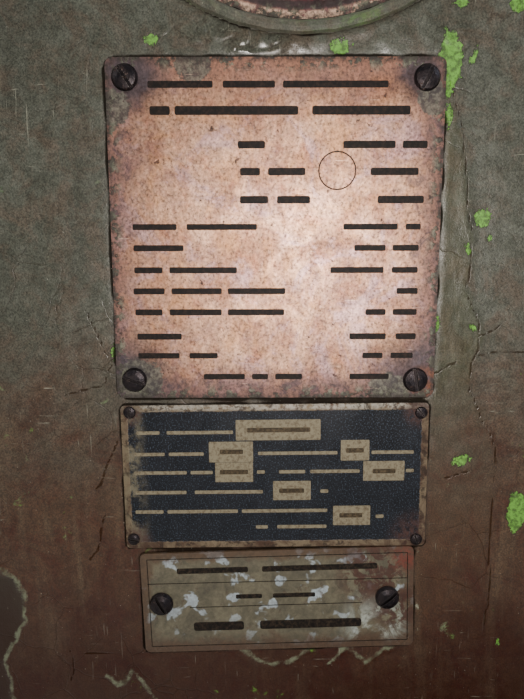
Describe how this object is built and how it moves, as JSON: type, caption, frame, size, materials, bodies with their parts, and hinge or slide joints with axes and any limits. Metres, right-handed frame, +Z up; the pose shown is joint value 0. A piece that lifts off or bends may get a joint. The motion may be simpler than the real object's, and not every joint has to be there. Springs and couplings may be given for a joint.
{
  "type": "mechanical stamping press",
  "caption": "Open C-frame eccentric stamping press: geared flywheel drive, foot-tripped key clutch, band brake, guided ram with ball joint, slotted bolster, switch box and data plates.",
  "frame": {"origin": "centre of the foundation-bolt pattern, on the floor under the base", "axes": "+Z up along the column; -Y towards the operator, where the ram and the bed are; +X towards the side wall with the data plates"},
  "size_m": [0.85, 1.409, 2.337],
  "materials": {
    "frame_paint": "worn gloss machine paint over cast iron",
    "machined_steel": "machined steel with an oil film",
    "dark_steel": "dark oily steel",
    "grey_iron": "machined grey iron, greasy at the teeth",
    "wheel_paint": "worn gloss paint, bare at the rim",
    "bronze": "turned bearing bronze",
    "spring_steel": "drawn spring wire",
    "belt_rubber": "dusty rubber",
    "box_enamel": "chipped enamel",
    "dark_moulding": "moulded phenolic",
    "green_button": "worn gloss",
    "red_button": "worn gloss",
    "copper_plate": "etched sheet with brown and purple patina",
    "black_plate": "etched sheet, black lacquer",
    "beige_plate": "painted sheet with rust stains"
  },
  "bodies": {
    "press_frame": {"frame": "frame_paint", "bolster_plate": "machined_steel", "frame_bolts": "dark_steel", "shaft_bearings": "bronze", "gib_left": "machined_steel", "gib_right": "machined_steel", "gib_caps": "frame_paint", "brake_band": "dark_steel", "brake_anchor": "frame_paint", "brake_spring": "spring_steel", "counter_bearings": "frame_paint", "motor_mount": "frame_paint", "motor_plate": "frame_paint", "motor_housing": "frame_paint", "drive_belts": "belt_rubber", "lifting_eyes": "dark_steel", "oil_cups": "bronze", "linkage_brackets": "frame_paint", "trip_spring": "spring_steel", "switch_box": "box_enamel", "box_fittings": "dark_moulding", "conduit": "frame_paint", "rating_plate": "copper_plate", "round_plate": "copper_plate", "electrical_plate": "black_plate", "inventory_plate": "beige_plate", "plate_screws": "dark_steel"},
    "ram": {"ram": "machined_steel", "shank_clamp": "machined_steel", "shank_nuts": "dark_steel"},
    "knockout": {"knockout_bar": "machined_steel"},
    "crankshaft": {"crankshaft": "machined_steel", "eccentric_bush": "machined_steel", "stroke_ring": "machined_steel", "shaft_nut": "dark_steel", "brake_drum": "grey_iron", "clutch_collar": "dark_steel", "clutch_key": "machined_steel", "gear_keeper": "dark_steel"},
    "connecting_rod": {"connecting_rod": "frame_paint", "rod_bush": "bronze", "rod_clamp_bolts": "dark_steel", "adjusting_screw": "machined_steel", "ball_cup": "bronze", "ball_retainer": "machined_steel"},
    "gear": {"bull_gear": "grey_iron", "gear_bush": "bronze"},
    "flywheel": {"countershaft": "machined_steel", "pinion": "grey_iron", "flywheel": "wheel_paint", "flywheel_nut": "dark_steel"},
    "motor_rotor": {"motor_shaft": "machined_steel", "motor_pulley": "grey_iron"},
    "pedal": {"foot_pedal": "frame_paint"},
    "pull_rod": {"pull_rod": "dark_steel"},
    "trip_lever": {"trip_lever": "dark_steel"},
    "box_door": {"box_door": "box_enamel"},
    "start_button": {"start_button": "green_button"},
    "stop_button": {"stop_button": "red_button"},
    "main_switch": {"main_switch": "dark_moulding"}
  },
  "joints": [
    {"name": "flywheel_turn", "type": "hinge", "parent": "press_frame", "child": "flywheel", "pos_m": [0, 0.7, 1.427], "axis": [0, 1, 0], "continuous": true},
    {"name": "gear_turn", "type": "hinge", "parent": "press_frame", "child": "gear", "pos_m": [0, 0.6, 1.76], "axis": [0, 1, 0], "continuous": true},
    {"name": "motor_turn", "type": "hinge", "parent": "press_frame", "child": "motor_rotor", "pos_m": [0, 0.6, 2.219], "axis": [0, 1, 0], "continuous": true},
    {"name": "crank_turn", "type": "hinge", "parent": "press_frame", "child": "crankshaft", "pos_m": [0, 0, 1.76], "axis": [0, 1, 0], "range_deg": [0, 180]},
    {"name": "rod_swing", "type": "hinge", "parent": "crankshaft", "child": "connecting_rod", "pos_m": [0, -0.2, 1.82], "axis": [0, 1, 0], "range_deg": [-180, 0]},
    {"name": "ram_slide", "type": "slide", "parent": "press_frame", "child": "ram", "axis": [0, 0, 1], "range_m": [-0.12, 0]},
    {"name": "knockout_lift", "type": "slide", "parent": "ram", "child": "knockout", "axis": [0, 0, 1], "range_m": [0, 0.04]},
    {"name": "pedal_press", "type": "hinge", "parent": "press_frame", "child": "pedal", "pos_m": [-0.272, 0.39, 0.15], "axis": [1, 0, 0], "range_deg": [0, 3.7], "stiffness_Nm_per_rad": 400, "springref_deg": -17.19},
    {"name": "rod_pull", "type": "slide", "parent": "press_frame", "child": "pull_rod", "axis": [0, 0, 1], "range_m": [-0.0184, 0], "deforming": ["trip_spring"]},
    {"name": "trip_rock", "type": "hinge", "parent": "press_frame", "child": "trip_lever", "pos_m": [-0.327, 0.3, 1.56], "axis": [0, 1, 0], "range_deg": [0, 18.5]},
    {"name": "door_swing", "type": "hinge", "parent": "press_frame", "child": "box_door", "pos_m": [0.374, 0.441, 1.03], "axis": [0, 0, 1], "range_deg": [0, 110]},
    {"name": "start_push", "type": "slide", "parent": "box_door", "child": "start_button", "axis": [1, 0, 0], "range_m": [-0.005, 0], "stiffness_N_per_m": 800, "springref_m": 0.003},
    {"name": "stop_push", "type": "slide", "parent": "box_door", "child": "stop_button", "axis": [1, 0, 0], "range_m": [-0.005, 0], "stiffness_N_per_m": 800, "springref_m": 0.003},
    {"name": "switch_turn", "type": "hinge", "parent": "box_door", "child": "main_switch", "pos_m": [0.38, 0.326, 0.9404], "axis": [1, 0, 0], "range_deg": [0, 90]}
  ],
  "couplings": [
    {"joint": "gear_turn", "follows": "flywheel_turn", "ratio": -0.19355},
    {"joint": "motor_turn", "follows": "flywheel_turn", "ratio": 5.5467},
    {"joint": "rod_swing", "follows": "crank_turn", "ratio": -1},
    {"joint": "ram_slide", "follows": "crank_turn", "m_per_rad": -0.038197},
    {"joint": "rod_pull", "follows": "pedal_press", "m_per_rad": -0.284},
    {"joint": "trip_rock", "follows": "pedal_press", "ratio": 4.98}
  ]
}
